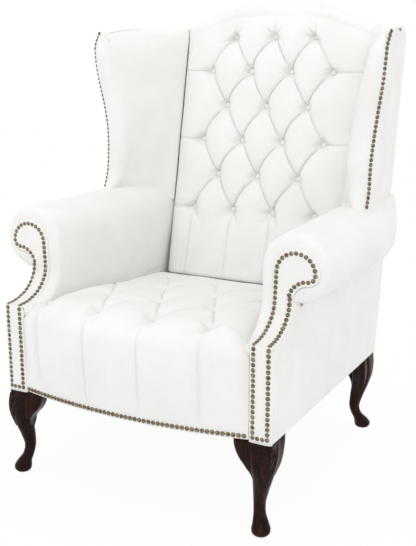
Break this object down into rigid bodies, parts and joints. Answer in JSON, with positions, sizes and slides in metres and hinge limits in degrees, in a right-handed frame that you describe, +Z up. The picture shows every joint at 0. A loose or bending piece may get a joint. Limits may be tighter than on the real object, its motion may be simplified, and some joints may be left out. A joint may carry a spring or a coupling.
{
  "type": "wing chair",
  "caption": "Chesterfield wing chair with deep-buttoned back and seat, scroll arms with nailed facings, swept wings, camel crest and cabriole legs",
  "frame": {"origin": "On the floor, at the centre of the chair's overall width and depth.", "axes": "+X to the right as seen from the front, +Y towards the back of the chair, +Z up. The chair faces -Y."},
  "size_m": [0.806, 0.8491, 1.08],
  "materials": {
    "leather": "fine-grained white leather with a soft satin sheen",
    "show_wood": "dark reddish mahogany stain under satin varnish",
    "frame_wood": "unfinished hardwood frame, hidden in use",
    "nail": "antiqued brass upholstery nail heads, aged dark in the recesses",
    "foam": "matt upholstery stuffing, hidden in use",
    "webbing": "woven jute webbing, matt",
    "cloth": "thin woven lining cloth, matt",
    "bolt": "plain steel"
  },
  "bodies": {
    "root": {"back_buttons": "leather", "back_cover": "leather", "back_foam": "foam", "back_webbing": "webbing", "corner_blocks": "frame_wood", "crest_rail": "frame_wood", "dust_cover": "cloth", "front_seat_rail": "frame_wood", "knee_blocks": "show_wood", "left_arm_facing": "leather", "left_arm_post": "frame_wood", "left_arm_rail": "frame_wood", "left_back_post": "frame_wood", "left_facing_nails": "nail", "left_front_leg": "show_wood", "left_inside_arm": "leather", "left_inside_wing": "leather", "left_outside_arm": "leather", "left_outside_wing": "leather", "left_rear_leg": "show_wood", "left_scroll_block": "frame_wood", "left_seat_side_rail": "frame_wood", "left_tack_rail": "frame_wood", "left_under_arm_rail": "frame_wood", "left_wing_nails": "nail", "left_wing_top_rail": "frame_wood", "left_wing_upright": "frame_wood", "leg_bolts": "bolt", "lower_back_rail": "frame_wood", "outside_back": "leather", "rail_nails": "nail", "rear_seat_rail": "frame_wood", "right_arm_facing": "leather", "right_arm_post": "frame_wood", "right_arm_rail": "frame_wood", "right_back_post": "frame_wood", "right_facing_nails": "nail", "right_front_leg": "show_wood", "right_inside_arm": "leather", "right_inside_wing": "leather", "right_outside_arm": "leather", "right_outside_wing": "leather", "right_rear_leg": "show_wood", "right_scroll_block": "frame_wood", "right_seat_side_rail": "frame_wood", "right_tack_rail": "frame_wood", "right_under_arm_rail": "frame_wood", "right_wing_nails": "nail", "right_wing_top_rail": "frame_wood", "right_wing_upright": "frame_wood", "seat_buttons": "leather", "seat_cover": "leather", "seat_foam": "foam", "seat_hessian": "cloth", "seat_webbing": "webbing"}
  },
  "joints": []
}
